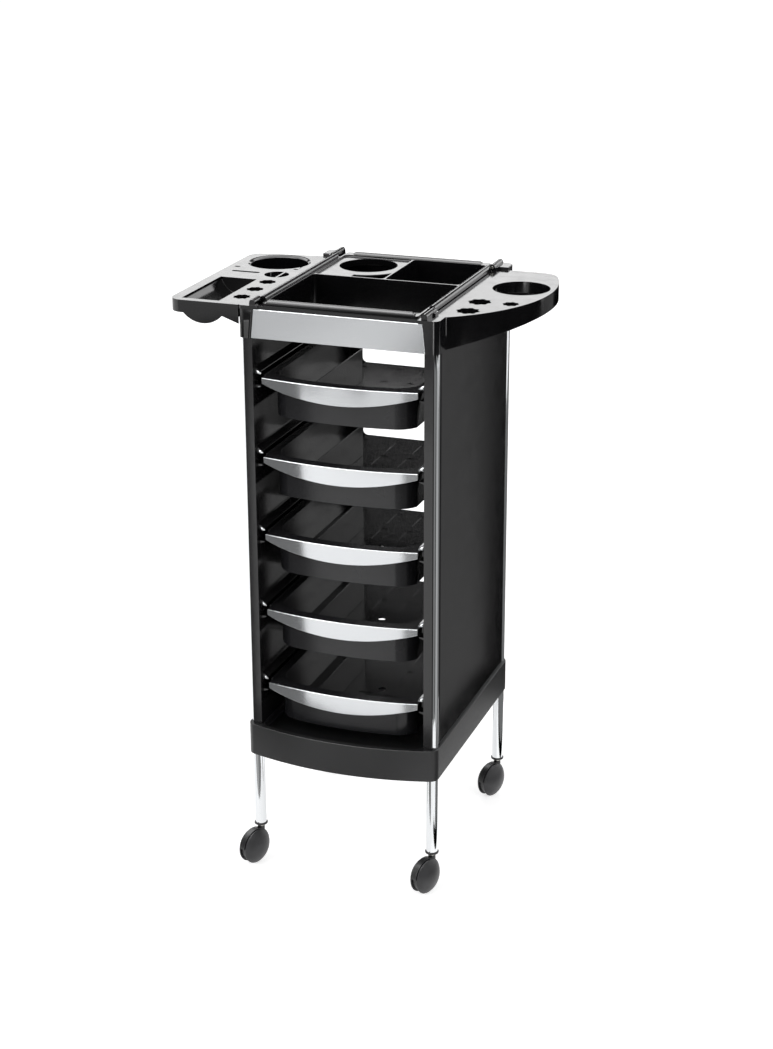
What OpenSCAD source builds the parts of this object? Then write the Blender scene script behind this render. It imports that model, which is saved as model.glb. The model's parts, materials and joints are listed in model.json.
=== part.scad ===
// Rolling salon trolley: a body on four twin-wheel casters with five sliding trays,
// a top basin and two hinged side wings. Millimetres, Z up, front towards -Y.

/* [Body] */
// Width of the base tray
body_w = 300; // [296:1:312]
// Depth of the base tray along its sides
body_d = 362; // [356:1:376]
// Height of the base tray's underside above the floor
base_z = 185; // [170:1:210]
// Height of the base tray
base_h = 49; // [42:1:60]
// How far the base tray's front bows out at its middle
base_bow = 24; // [18:1:28]
// Corner radius of the base tray
base_corner_r = 14; // [13:0.5:16]
// Wall of the base tray
base_wall = 3; // [2.5:0.5:4]
// Depth of the shelf in the top of the base tray
shelf_depth = 12; // [8:1:20]

/* [Legs] */
// Outer diameter of the chrome tubes
tube_d = 17.5; // [16:0.5:18]
// Wall of the chrome tubes
tube_wall = 1.25; // [1:0.25:2]
// Height of the tubes' lower ends above the floor
tube_foot_z = 62; // [60:1:80]
// How deep the tubes reach into the top frame
tube_seat = 30; // [20:1:36]

/* [Side panels] */
// Thickness of the side panels over both skins
panel_t = 18.5; // [17.5:0.5:20]
// Thickness of each skin of a side panel
panel_skin = 2.5; // [2:0.5:3]
// How far the guide ribs stand in from the panels
rib_w = 9; // [8:0.5:10]
// Height of the slot between the two guide ribs of a tray
rib_slot = 19; // [17:0.5:21]
// Root height of the upper guide ribs
upper_rib_h = 7; // [5:0.5:9]
// Root height of the lower guide ribs
lower_rib_h = 4.5; // [3.5:0.5:6]

/* [Trays] */
// Distance from one tray to the next
tray_pitch = 118.5; // [110:0.5:119]
// Depth of the top tray's rim below the top frame
tray_drop = 58; // [50:0.5:62]
// Depth of the tray bodies
tray_h = 60; // [50:1:70]
// Gap between the lowest tray and the base tray
low_gap = 7.5; // [4:0.5:40]
// Wall of the tray bodies
tray_wall = 2.5; // [2:0.25:3]
// Front corner radius of the tray bodies
tray_corner_r = 38; // [30:1:40]
// How far each side of a tray leans in from rim to floor
tray_draft = 4; // [3:0.5:8]
// Half width of the notch in a tray's rear wall
notch_half_w = 83; // [70:1:90]
// Place of the divider, from the middle towards the left
divider_x = 47; // [30:1:55]
// Height of the divider
divider_h = 50; // [30:1:52]
// Thickness of the divider
divider_t = 2; // [1.5:0.25:3]
// Place of the divider's rear end, from the middle of the trolley
divider_rear_y = 45; // [0:5:120]

/* [Tray fronts] */
// Height of a tray front at its middle
front_mid_h = 27; // [22:1:32]
// Height of a tray front at its ends
front_end_h = 9; // [7:1:12]
// How far a tray front bows out
front_bow = 13; // [10:1:16]
// Thickness of the tray fronts
front_t = 3; // [2.5:0.5:4]

/* [Top frame] */
// Height of the top frame at its corners
frame_h = 47.5; // [44:0.5:52]
// How far the side rails lie below the corners
rail_drop = 4.5; // [4.5:0.5:6]
// Width of the corner blocks across the front
block_w = 21; // [19:0.5:22]
// Depth of the front corner blocks
block_d = 30.5; // [28:0.5:34]
// Vertical edge radius of the corner blocks
block_r = 9; // [6:0.5:10]
// Thickness of the front plate
plate_t = 2; // [1.5:0.25:2.5]

/* [Top basin] */
// Depth of the basin below its rim
basin_depth = 44; // [36:1:44]
// Wall of the basin
basin_wall = 2.5; // [2:0.25:3]
// Radius of the round beads along the basin's sides
bead_r = 4.8; // [4.2:0.1:4.9]
// Height of the front lip above the rail
lip_h = 7; // [5.5:0.5:8]
// Radius of the bottle ring's hole
bottle_r = 44; // [36:0.5:46]
// Depth of the collar under the bottle ring
bottle_collar_h = 10; // [6:1:20]

/* [Wings] */
// Thickness of the wing plates
wing_t = 3; // [2.5:0.25:3.5]
// Reach of the left wing, from its hinge axis
left_reach = 131.4; // [128:0.1:132]
// Reach of the right wing, from its hinge axis
right_reach = 121.4; // [118:0.1:122]
// Height of the wing skirts and of the left front wall
wing_skirt_h = 18.5; // [16:0.5:24]
// Height of the right wing's skirt at the corner block
deep_skirt_h = 47.5; // [40:0.5:47.5]
// Rise of the right wing's skirt towards its outer edge
skirt_slope = 12; // [8:0.5:16]
// Radius of the left wing's cup
cup_r = 43.5; // [40:0.5:44]
// Depth of the left wing's cup
cup_depth = 40; // [30:1:60]
// Radius of the right wing's dryer ring
dryer_r = 42; // [36:0.5:43]
// Depth of the collars under the smaller holes
collar_h = 14; // [8:1:15]
// Outer radius of the foil cradle
cradle_r = 38.5; // [36:0.5:38.5]
// Length of the foil cradle
cradle_l = 152; // [140:1:154]

/* [Hinges] */
// Diameter of the hinge pins
pin_d = 4; // [3:0.5:5]
// Outer radius of the hinge knuckles
knuckle_r = 4.5; // [4:0.1:4.6]
// Length of a wing's knuckle
knuckle_l = 12.5; // [10:0.5:13]

/* [Casters] */
// Diameter of the wheels
wheel_d = 54; // [48:1:55]
// Width of one wheel over its dome
wheel_w = 13; // [12.5:0.5:18]
// Height of the dome on a wheel's outer side
dome_h = 11.5; // [6:0.5:12]
// Distance from the swivel axis to the axle
trail = 16; // [12:0.5:20]
// Thickness of the hood's web between the wheels
web_t = 9; // [9:0.5:14]
// How far the hood stands out over the wheels' tops
hood_rise = 1.5; // [0.5:0.25:1.5]
// Radius of the neck that the stem stands in
neck_r = 5.6; // [5.2:0.1:7]
// Diameter of the axles
axle_d = 6; // [5:0.5:8]
// Diameter of the stems
stem_d = 7; // [6:0.5:7]
// Height that a stem reaches into its socket
stem_grip = 34; // [25:1:40]
// Turn of the casters about their stems, in degrees
caster_turn = -110; // [-180:1:180]

/* [Hidden] */
$fn = 64;

free_gap = 0.3;                              // between solids that only lie near each other
fit_gap = 0.05;                              // radial, round a shaft in its hole
cut = 1;                                     // how far a cutter runs past the face it opens
big_fn = 360;                                // circles over 100 mm in radius

// The body's middle is moved so that the whole part stands centred on the origin: the wings
// reach furthest sideways, and the casters' hoods furthest forwards and backwards.
body_shift = [(left_reach - right_reach) / 2, -trail * sin(caster_turn), 0];

// Widths, each a half width from the middle plane.
base_x = body_w / 2;
tube_x = base_x - 11;
panel_out_x = base_x - 3;
panel_in_x = panel_out_x - panel_t;
flange_tip_x = panel_out_x - 4.5;            // the front flange leaves the tube's outer side bare
rib_x = panel_in_x - rib_w;
runner_x = panel_in_x - 2.5;
front_x = rib_x - 1.7;
rim_x = rib_x + 1;
tray_x = rib_x - 9.5;
frame_x = base_x - 2;
hinge_x = frame_x - 20.4;
basin_x = hinge_x - 11.9;
bead_x = hinge_x - 0.7 - bead_r;
rail_in_x = basin_x + free_gap;

// Depths.
side_y = body_d / 2;
tube_y = side_y - 14;
panel_y = side_y - 3;
frame_y = side_y - 4.5;
tray_front_y = -(side_y - 11.5);             // the bodies' foremost point
tray_rear_y = side_y - 36;
front_plate_y = -(frame_y + plate_t);
rail_in_y = side_y - 24;
basin_y = rail_in_y - free_gap;

// Heights. The panels are as high as the five trays need.
panel_h = tray_drop + 4 * tray_pitch + tray_h + low_gap;
deck_z = base_z + base_h;
frame_z = deck_z + panel_h;
block_z = frame_z + frame_h;
rail_z = block_z - rail_drop;
wing_z = block_z - 1;                        // top of the wing plates
wing_low_z = wing_z - wing_t;
hinge_z = wing_z + 5;
basin_rim_z = block_z + 2.5;
tube_r = tube_d / 2;
tube_top_z = frame_z + tube_seat;
corners = [[-1, -1], [1, -1], [-1, 1], [1, 1]];

function tray_z(i) = frame_z - tray_drop - i * tray_pitch;

// ---- shared outlines ----

// Rounded rectangle from (x0, y0) to (x1, y1).
module round_rect(x0, y0, x1, y1, r) {
    translate([x0 + r, y0]) square([x1 - x0 - 2 * r, y1 - y0]);
    translate([x0, y0 + r]) square([x1 - x0, y1 - y0 - 2 * r]);
    for (x = [x0 + r, x1 - r], y = [y0 + r, y1 - r]) translate([x, y]) circle(r = r);
}

// Outline with straight sides and a front that bows out to front_y at the middle.
module bowed_outline(half_w, front_y, bow, rear_y, front_r, rear_r) {
    big_r = (half_w * half_w + bow * bow) / (2 * bow);
    big_y = front_y + big_r;
    fillet_y = big_y - sqrt(pow(big_r - front_r, 2) - pow(half_w - front_r, 2));
    tangent_x = (half_w - front_r) * big_r / (big_r - front_r);
    intersection() {
        translate([0, big_y]) circle(r = big_r, $fn = big_fn);
        translate([-tangent_x, front_y - cut]) square([2 * tangent_x, fillet_y - front_y + cut]);
    }
    translate([-half_w, fillet_y]) square([2 * half_w, rear_y - rear_r - fillet_y]);
    translate([-(half_w - rear_r), rear_y - 2 * rear_r]) square([2 * (half_w - rear_r), 2 * rear_r]);
    for (s = [-1, 1]) {
        translate([s * (half_w - front_r), fillet_y]) circle(r = front_r);
        translate([s * (half_w - rear_r), rear_y - rear_r]) circle(r = rear_r);
    }
}

module at_z(z0, z1) translate([0, 0, z0]) linear_extrude(z1 - z0) children();

// Prism along Y: the children lie in (x, z).
module along_y(y0, y1) translate([0, y1, 0]) rotate([90, 0, 0]) linear_extrude(y1 - y0) children();

// Prism along X: the children lie in (y, z).
module along_x(x0, x1) translate([x0, 0, 0]) rotate([90, 0, 90]) linear_extrude(x1 - x0) children();

// Round hole with a ring of lobes, for tools that stand up.
module lobed_hole(r) {
    lobe_r = r * 0.24;
    circle(r = r * 0.86);
    for (k = [0:7]) rotate(45 * k) translate([r - lobe_r, 0]) circle(r = lobe_r);
}

module centred() translate(body_shift) children();

// ---- base ----

module base_tray() centred() color("#2b2b2d") difference() {
    union() {
        difference() {
            at_z(base_z, deck_z) base_outline(0);
            at_z(base_z - cut, deck_z - shelf_depth - base_wall) base_outline(base_wall);
            at_z(deck_z - shelf_depth, deck_z + cut) shelf_outline();
        }
        for (c = corners) translate([c[0] * tube_x, c[1] * tube_y, base_z])
            cylinder(r = tube_r + 2, h = base_h);
    }
    for (c = corners) translate([c[0] * tube_x, c[1] * tube_y, base_z - cut])
        cylinder(r = tube_r + fit_gap, h = base_h + 2 * cut);
}

module base_outline(inset) bowed_outline(base_x - inset, -(side_y + base_bow) + inset,
    base_bow, side_y - inset, base_corner_r - inset, base_corner_r - inset);

// The shelf lies between the panels, and its front follows the bow.
module shelf_outline() bowed_outline(panel_in_x - 3, -(side_y + base_bow) + 9, base_bow * 0.7,
    side_y - 9, 10, 10);

// ---- legs ----

module tube(c) centred() color("#d9dadc") translate([c[0] * tube_x, c[1] * tube_y, 0]) difference() {
    translate([0, 0, tube_foot_z]) cylinder(r = tube_r, h = tube_top_z - tube_foot_z);
    translate([0, 0, tube_foot_z - cut])
        cylinder(r = tube_r - tube_wall, h = tube_top_z - tube_foot_z + 2 * cut);
}

// ---- side panels ----

module side_panel(s) centred() color("#242326") mirror([s < 0 ? 1 : 0, 0, 0]) {
    difference() {
        at_z(deck_z, frame_z) difference() {
            translate([panel_in_x, -panel_y]) square([panel_t, 2 * panel_y]);
            for (t = [-1, 1]) {
                translate([tube_x, t * tube_y]) circle(r = tube_r + free_gap);
                translate([flange_tip_x, t > 0 ? tube_y - tube_r - 1 : -panel_y - cut])
                    square([panel_t, panel_y + cut - tube_y + tube_r + 1]);
            }
        }
        cavity_y = tube_y - tube_r - 4;
        at_z(deck_z - cut, frame_z - panel_skin)
            translate([panel_in_x + panel_skin, -cavity_y])
                square([panel_t - 2 * panel_skin, 2 * cavity_y]);
    }
    for (i = [0:4]) guide_ribs(tray_z(i));
}

// Wedge-shaped ribs above and below a tray's runner, with a stop at the rear of the lower one.
module guide_ribs(z) {
    rib_front_y = -(panel_y - 6);
    rib_rear_y = tray_rear_y + 3;
    low_z = z - runner_drop;
    tip = 1.2;
    along_y(rib_front_y, rib_rear_y) polygon([[rib_x, low_z - tip], [rib_x, low_z],
        [panel_in_x, low_z], [panel_in_x, low_z - lower_rib_h]]);
    along_y(rib_front_y, rib_rear_y) polygon([[rib_x, low_z + rib_slot], [panel_in_x, low_z + rib_slot],
        [panel_in_x, low_z + rib_slot + upper_rib_h], [rib_x, low_z + rib_slot + tip]]);
    translate([rib_x, tray_rear_y + free_gap, low_z]) cube([rib_w, 3 - free_gap, 5]);
}

// ---- trays ----

runner_drop = 11.3;                          // the lower ribs' top, below a tray's rim
rim_h = 11;                                  // height of the tray's rim band
runner_t = 2.2;
groove_depth = 0.8;                          // of the grooves in a tray's floor

module tray_section(x, h) polygon([[-x, cut], [-x, -rim_h], [-(x - tray_draft), -h],
    [x - tray_draft, -h], [x, -rim_h], [x, cut]]);

module tray_body(i) centred() color("#3a3a3c") translate([0, 0, tray_z(i)]) difference() {
    union() {
        intersection() {
            at_z(-tray_h, 0) tray_outline(0);
            along_y(-side_y, side_y) tray_section(tray_x, tray_h);
        }
        at_z(-tray_wall, 0) tray_rim_outline();
        for (s = [-1, 1]) mirror([s < 0 ? 1 : 0, 0, 0]) along_y(runner_front_y, tray_rear_y)
            polygon([[tray_x, -tray_wall], [tray_x, 0], [rim_x, 0], [rim_x, -rim_h + runner_t],
                [runner_x, -rim_h + runner_t], [runner_x, -rim_h], [rim_x - 2, -rim_h],
                [rim_x - 2, -tray_wall]]);
    }
    intersection() {
        at_z(-tray_h + tray_wall, cut) tray_outline(tray_wall);
        along_y(-side_y, side_y) tray_section(tray_x - tray_wall, tray_h - tray_wall);
    }
    rear_notch();
    floor_grooves();
}

runner_front_y = tray_front_y + 14;

module tray_outline(inset) bowed_outline(tray_x - inset, tray_front_y + inset, front_bow,
    tray_rear_y - inset, tray_corner_r - inset, 8 - inset);

// The rim's front edge lies just behind the tray front.
rim_front_y = tray_front_y - 13;

module tray_rim_outline() bowed_outline(front_x, rim_front_y, front_bow, tray_front_y + 40, 3, 3);

module rear_notch() along_y(tray_rear_y - 2 * tray_wall, tray_rear_y + cut)
    round_rect(-notch_half_w, -tray_h + tray_wall, notch_half_w, tray_h, 8);

// A round drain through the floor, and two short and some rows of long grooves in it.
module floor_grooves() {
    side_groove_x = tray_x - 39;
    at_z(-tray_h - cut, -tray_h + tray_wall + cut) translate([7, -20]) circle(r = 6);
    at_z(-tray_h + tray_wall - groove_depth, -tray_h + tray_wall + cut) {
        for (x = [-14, 28]) slot(x, -42, 20, 9);
        for (x = [-side_groove_x, -14, 28, side_groove_x], y = [tray_front_y + 69.5, 30, tray_rear_y - 47])
            slot(x, y, 12, 52);
    }
}

module slot(x, y, w, l) {
    r = min(w, l) / 2;
    translate([x, y]) {
        square([w > l ? w - 2 * r : w, w > l ? l : l - 2 * r], center = true);
        for (s = [-1, 1]) translate(w > l ? [s * (w / 2 - r), 0] : [0, s * (l / 2 - r)]) circle(r = r);
    }
}

// Crescent front: bowed in plan, straight on top and curved below.
module tray_front(i) centred() color("#c9cbcd") translate([0, 0, tray_z(i)]) intersection() {
    plan_r = (front_x * front_x + front_bow * front_bow) / (2 * front_bow);
    drop = front_mid_h - front_end_h;
    edge_r = (front_x * front_x + drop * drop) / (2 * drop);
    at_z(-front_mid_h, 0) difference() {
        translate([0, rim_front_y - free_gap - front_t + plan_r]) circle(r = plan_r, $fn = big_fn);
        translate([0, rim_front_y - free_gap + plan_r - front_t])
            circle(r = plan_r - front_t, $fn = big_fn);
    }
    along_y(rim_front_y - front_t - cut, rim_front_y + front_bow + cut) intersection() {
        translate([-front_x, -front_mid_h]) square([2 * front_x, front_mid_h]);
        translate([0, edge_r - front_mid_h]) circle(r = edge_r, $fn = big_fn);
    }
}

// The divider stands on the floor, from just behind the bowed wall to divider_rear_y.
module tray_divider(i) centred() color("#333335") {
    inner_x = tray_x - tray_wall;
    bow_r = (inner_x * inner_x + front_bow * front_bow) / (2 * front_bow);
    edge_x = divider_x + divider_t / 2;
    front_end_y = tray_front_y + tray_wall + free_gap + bow_r - sqrt(bow_r * bow_r - edge_x * edge_x);
    translate([-edge_x, front_end_y, tray_z(i) - tray_h + tray_wall])
        cube([divider_t, divider_rear_y - front_end_y, divider_h]);
}

// ---- top frame ----

module top_frame() centred() color("#1b1b1d") difference() {
    union() {
        at_z(frame_z, rail_z) round_rect(-frame_x, -frame_y, frame_x, frame_y, block_r);
        at_z(rail_z, block_z) for (t = [-1, 1])
            translate([-raised_x, t > 0 ? rail_in_y : -frame_y]) square([2 * raised_x, frame_y - rail_in_y]);
        for (s = [-1, 1]) mirror([s < 0 ? 1 : 0, 0, 0]) {
            at_z(frame_z, rail_z) corner_block(-block_y, block_d - block_y);
            at_z(rail_z - cut, block_z) {
                corner_block(-block_y, front_knuckle_y(s) - 0.6);
                translate([raised_x - cut, -block_y]) square([raised_step, block_y + boss_y]);
            }
            at_z(frame_z, rail_z) translate([raised_x - cut, -block_y]) square([raised_step, 8]);
            at_z(frame_z, hinge_z - 1) corner_block(rear_boss_y, block_y);
            hinge_boss(-frame_y, front_knuckle_y(s) - free_gap);
            hinge_boss(rear_boss_y, block_y);
        }
    }
    at_z(frame_z - cut, hinge_z + knuckle_r + cut) translate([-rail_in_x, -rail_in_y])
        square([2 * rail_in_x, 2 * rail_in_y]);
    for (c = corners) translate([c[0] * tube_x, c[1] * tube_y, frame_z - cut])
        cylinder(r = tube_r + fit_gap, h = tube_seat + cut);
    for (s = [-1, 1]) {
        pin_line(s, -pin_end_y - free_gap, pin_end_y + free_gap, pin_d / 2 + fit_gap);
        translate([s * (panel_in_x + panel_out_x) / 2, 0, frame_z - cut]) rail_hollow();
    }
    along_y(-block_y - cut, -frame_y) plate_outline(free_gap);
}

block_y = side_y - 1.5;
block_in_x = frame_x + 1 - block_w;
raised_x = basin_x + 4;                      // the front and rear rails stand up between the hinges
raised_step = block_in_x - raised_x + 2 * cut;
rear_boss_y = side_y - 31.2;
boss_y = -(side_y - 15);
pin_end_y = side_y - 8;
rail_hollow_l = 220;

// Corner of the frame, square inside and rounded at its outer corner.
module corner_block(y0, y1) {
    depth = y1 - y0;
    translate([block_in_x, y0]) {
        round_rect(0, 0, block_w, depth, min(block_r, depth / 2 - 0.1));
        square([block_w / 2, depth]);
        translate([0, y0 < 0 ? depth / 2 : 0]) square([block_w, depth / 2]);
    }
}

// Boss that holds the outer end of a hinge pin.
module hinge_boss(y0, y1) {
    translate([hinge_x, y1, hinge_z]) rotate([90, 0, 0]) cylinder(r = knuckle_r, h = y1 - y0);
    translate([hinge_x - knuckle_r, y0, rail_z - cut]) cube([2 * knuckle_r, y1 - y0, hinge_z - rail_z + cut]);
}

// The side rails are hollow underneath, over the panels.
module rail_hollow() translate([-(panel_t / 2 - 2), -rail_hollow_l / 2, 0])
    cube([panel_t - 4, rail_hollow_l, rail_z - frame_z - 2 + cut]);

// Front end of a wing's front knuckle. The right wing starts further back than the left one.
function front_knuckle_y(s) = s < 0 ? -(side_y - 16) : block_d - block_y + 0.6;
knuckle_rear_y = rear_boss_y - free_gap;

module pin_line(s, y0, y1, r) translate([s * hinge_x, y1, hinge_z]) rotate([90, 0, 0])
    cylinder(r = r, h = y1 - y0);

module hinge_pins(s) centred() color("#b9babd") {
    pin_line(s, -pin_end_y, front_knuckle_y(s) + knuckle_l, pin_d / 2);
    pin_line(s, knuckle_rear_y - knuckle_l, pin_end_y, pin_d / 2);
}

// Silver plate on the frame's front, a little wider below than above.
module plate_outline(grow) {
    low_x = block_in_x + 2 + grow;
    top_x = block_in_x - 2.5 + grow;
    low = frame_z + 0.5 - 4 * grow;
    top = block_z - 5 + grow;
    polygon([[-low_x, low], [low_x, low], [top_x, top], [-top_x, top]]);
}

module front_plate() centred() color("#c4c6c8") along_y(front_plate_y, -frame_y) plate_outline(0);

// ---- top basin ----

basin_floor_z = block_z - basin_depth;
deck_t = 2.5;                                // thickness of the bottle deck
bottle_x = -58;
bottle_y = side_y - 74.5;
middle_wall_y = 20;                          // wall between the front and the rear compartments
rear_wall_x = -4;                            // wall between the two rear compartments

module top_basin() centred() color("#1d1d1f") {
    inner_x = basin_x - basin_wall;
    inner_y = basin_y - basin_wall;
    difference() {
        union() {
            at_z(basin_floor_z - basin_wall, basin_rim_z) round_rect(-basin_x, -basin_y, basin_x, basin_y, 6);
            at_z(block_z, basin_rim_z) round_rect(-basin_x, -(basin_y + 12), basin_x, basin_y + 14, 3);
            lip(-(basin_y + 7), basin_x - 6, lip_h);
            lip(basin_y + 8, basin_x - 12, lip_h - 1.5);
            for (s = [-1, 1]) side_bead(s);
        }
        at_z(basin_floor_z, basin_rim_z + cut) {
            round_rect(-inner_x, -inner_y, inner_x, middle_wall_y, 6);
            round_rect(-inner_x, middle_wall_y + basin_wall, rear_wall_x, inner_y, 6);
            round_rect(rear_wall_x + basin_wall, middle_wall_y + basin_wall, inner_x, inner_y, 6);
        }
    }
    bottle_deck(inner_x, inner_y);
}

// Raised bar along the basin's front or rear edge, round on top and at its ends.
module lip(y, half_l, h) intersection() {
    lip_r = 5;
    along_x(-half_l, half_l) translate([y, block_z]) intersection() {
        union() {
            translate([0, h - lip_r]) circle(r = lip_r);
            translate([-lip_r, 0]) square([2 * lip_r, h - lip_r]);
        }
        translate([-lip_r, 0]) square([2 * lip_r, h]);
    }
    along_y(y - lip_r - cut, y + lip_r + cut)
        round_rect(-half_l, block_z - lip_r, half_l, block_z + h, lip_r);
}

// Round bead along the seam of a wing, with its foot on the side rail.
module side_bead(s) {
    y0 = front_knuckle_y(s) + knuckle_l + (s < 0 ? 2 : 10);
    y1 = knuckle_rear_y - knuckle_l - 2;
    bead_z = hinge_z - 0.8;
    mirror([s < 0 ? 1 : 0, 0, 0]) along_y(y0, y1) {
        translate([bead_x, bead_z]) circle(r = bead_r);
        translate([basin_x - cut, rail_z]) square([bead_x + bead_r - basin_x + cut, bead_z - rail_z]);
    }
}

// Deck over the rear left compartment with a ring for a bottle; right of the ring its edge is round.
module bottle_deck(inner_x, inner_y) difference() {
    union() {
        at_z(block_z - deck_t, block_z) intersection() {
            translate([-inner_x - 0.5, middle_wall_y + basin_wall])
                square([inner_x + rear_wall_x + 1, inner_y - middle_wall_y - basin_wall + 0.5]);
            union() {
                translate([bottle_x, bottle_y]) circle(r = bottle_r + 18);
                translate([-inner_x - cut, bottle_y]) square([inner_x + 10, inner_y]);
                translate([-inner_x - cut, 0]) square([inner_x + bottle_x + cut, inner_y]);
            }
        }
        translate([bottle_x, bottle_y, block_z - bottle_collar_h])
            cylinder(r = bottle_r + deck_t, h = bottle_collar_h);
    }
    translate([bottle_x, bottle_y, block_z - bottle_collar_h - cut])
        cylinder(r = bottle_r, h = bottle_collar_h + 2 * cut);
}

// ---- wings, drawn on the right side of the body ----

wing_in_x = hinge_x + 1;
wing_root_x = frame_x + 0.4;                 // the root wall stops against the frame
wing_front_x = frame_x + 1.6;                // beside the corner block
wing_wall = 2.5;
collar_t = 1.5;
left_out_x = hinge_x + left_reach;
left_front_y = -(side_y - 5.5);
left_corner_r = 20;
rear_slant = 7.9;                            // degrees, of the left wing's rear edge
cradle_x = left_out_x - 50;
cradle_z = block_z + 7;
cheek_x = cradle_x - 4;
cheek_r = 40;
cup_x = hinge_x + 68.4;
cup_y = 88.5;
cup_rim_r = cup_r + 5.5;
left_holes_y = [-131, -83.5, -37];
lobed_r = 13;
lobed_x = wing_root_x + collar_t + lobed_r;
split_r = 18.5;
split_x = wing_root_x + collar_t + split_r;
split_y = 11;
long_slot_x = left_out_x - 39.5;
long_slot_y = 13.5;
long_slot_l = 45;
long_slot_w = 7;
outer_slot_x = left_out_x - 14;
outer_slot_y = 41;
inner_slot_x = wing_root_x + 5.5;
inner_slot_y = 50.5;
root_wall_h = 26;

module left_outline(inset) {
    r = left_corner_r - inset;
    x1 = left_out_x - inset;
    front = left_front_y + inset;
    rear = knuckle_rear_y - inset / cos(rear_slant);
    centre_x = left_out_x - left_corner_r;
    front_c = [centre_x, left_front_y + left_corner_r];
    rear_c = [centre_x, knuckle_rear_y - (centre_x - wing_in_x) * tan(rear_slant)
        - left_corner_r / cos(rear_slant)];
    polygon([[wing_front_x + inset, front], [front_c[0], front], front_c, [x1, front_c[1]], [x1, rear_c[1]],
        rear_c, rear_c + r * [sin(rear_slant), cos(rear_slant)],
        [wing_in_x, rear], [wing_in_x, front_knuckle_y(-1)], [wing_front_x + inset, front_knuckle_y(-1)]]);
    translate(front_c) circle(r = r);
    translate(rear_c) circle(r = r);
}

module knuckles(s) for (y0 = [front_knuckle_y(s), knuckle_rear_y - knuckle_l]) {
    translate([hinge_x, y0 + knuckle_l, hinge_z]) rotate([90, 0, 0]) cylinder(r = knuckle_r, h = knuckle_l);
    translate([hinge_x, y0, wing_low_z]) cube([7, knuckle_l, hinge_z - wing_low_z]);
}

module root_wall(y0, y1, low) {
    translate([wing_root_x, y0, low]) cube([wing_wall, y1 - y0, wing_z - low - cut]);
}

module wing_left() centred() color("#242426") mirror([1, 0, 0]) difference() {
    union() {
        at_z(wing_low_z, wing_z) left_outline(0);
        knuckles(-1);
        left_skirt();
        root_wall(block_d - block_y + 0.6, knuckle_rear_y, wing_z - root_wall_h);
        foil_cradle();
        at_z(wing_low_z - collar_h, wing_z) {
            for (y = left_holes_y) translate([lobed_x, y]) circle(r = lobed_r + collar_t);
            translate([split_x, split_y]) circle(r = split_r + collar_t);
        }
        translate([cup_x, cup_y, wing_z - cup_depth - wing_wall])
            cylinder(r = cup_r + wing_wall, h = cup_depth + wing_wall - 0.5);
    }
    pin_line(1, -side_y, side_y, pin_d / 2 + fit_gap);
    at_z(wing_low_z - collar_h - cut, wing_z + cut) {
        for (y = left_holes_y) translate([lobed_x, y]) lobed_hole(lobed_r);
        translate([split_x, split_y]) difference() {
            circle(r = split_r);
            translate([-7.5, -split_r]) square([3, 2 * split_r]);
        }
    }
    at_z(wing_low_z - cut, wing_z + cut) {
        slot(long_slot_x, long_slot_y, long_slot_l, long_slot_w);
        slot(outer_slot_x, outer_slot_y, 9, 6);
        slot(inner_slot_x, inner_slot_y, 8, 5);
        cradle_mouth();
    }
    translate([cup_x, cup_y, wing_z - cup_depth]) cylinder(r = cup_r, h = cup_depth + cut);
    translate([cup_x, cup_y, wing_low_z]) cylinder(r1 = cup_r, r2 = cup_rim_r, h = wing_t + 0.01);
}

// Rim under the plate, with a gusset and a half-round cheek on the front wall.
module left_skirt() {
    low = wing_z - wing_skirt_h;
    at_z(low, wing_z - cut) intersection() {
        difference() {
            left_outline(0);
            left_outline(wing_wall);
        }
        translate([wing_front_x, -side_y]) square([left_out_x, 2 * side_y]);
    }
    along_y(left_front_y, left_front_y + wing_wall) {
        polygon([[wing_front_x, low - 9.5], [wing_front_x, low + cut], [wing_front_x + 27, low + cut],
            [wing_front_x + 27, low]]);
        intersection() {
            translate([cheek_x, cradle_z]) circle(r = cheek_r);
            translate([cheek_x - cheek_r, cradle_z - cheek_r])
                square([2 * cheek_r, low + cut - cradle_z + cheek_r]);
        }
    }
}

// Trough for a foil roll: a half pipe closed by a cheek at its rear end.
module foil_cradle() {
    y1 = left_front_y + cradle_l;
    along_y(left_front_y + cut, y1) cradle_half(cradle_r - 1.5, cradle_r - 4);
    along_y(y1 - wing_wall, y1) cradle_half(cradle_r - 1.5, 0);
}

module cradle_half(outer_r, inner_r) intersection() {
    translate([cradle_x, cradle_z]) difference() {
        circle(r = outer_r);
        if (inner_r > 0) circle(r = inner_r);
    }
    translate([cradle_x - outer_r, cradle_z - outer_r])
        square([2 * outer_r, wing_low_z + cut - cradle_z + outer_r]);
}

module cradle_mouth() translate([cradle_x - 25, left_front_y + 12])
    square([58, cradle_l - 12 - wing_wall - 1.5]);

right_out_x = hinge_x + right_reach;
right_arc_r = 228.5;
right_arc_x = right_out_x - right_arc_r;
right_arc_y = 42;
right_corner_r = 30;
dryer_x = hinge_x + 72.4;
dryer_y = 46.5;
brush_r = 17;
brush_x = wing_root_x + collar_t + brush_r;
brush_front_y = -103.5;
brush_rear_y = -49.5;
comb_r = 12;
comb_x = hinge_x + 84.4;
comb_y = -47.5;

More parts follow.
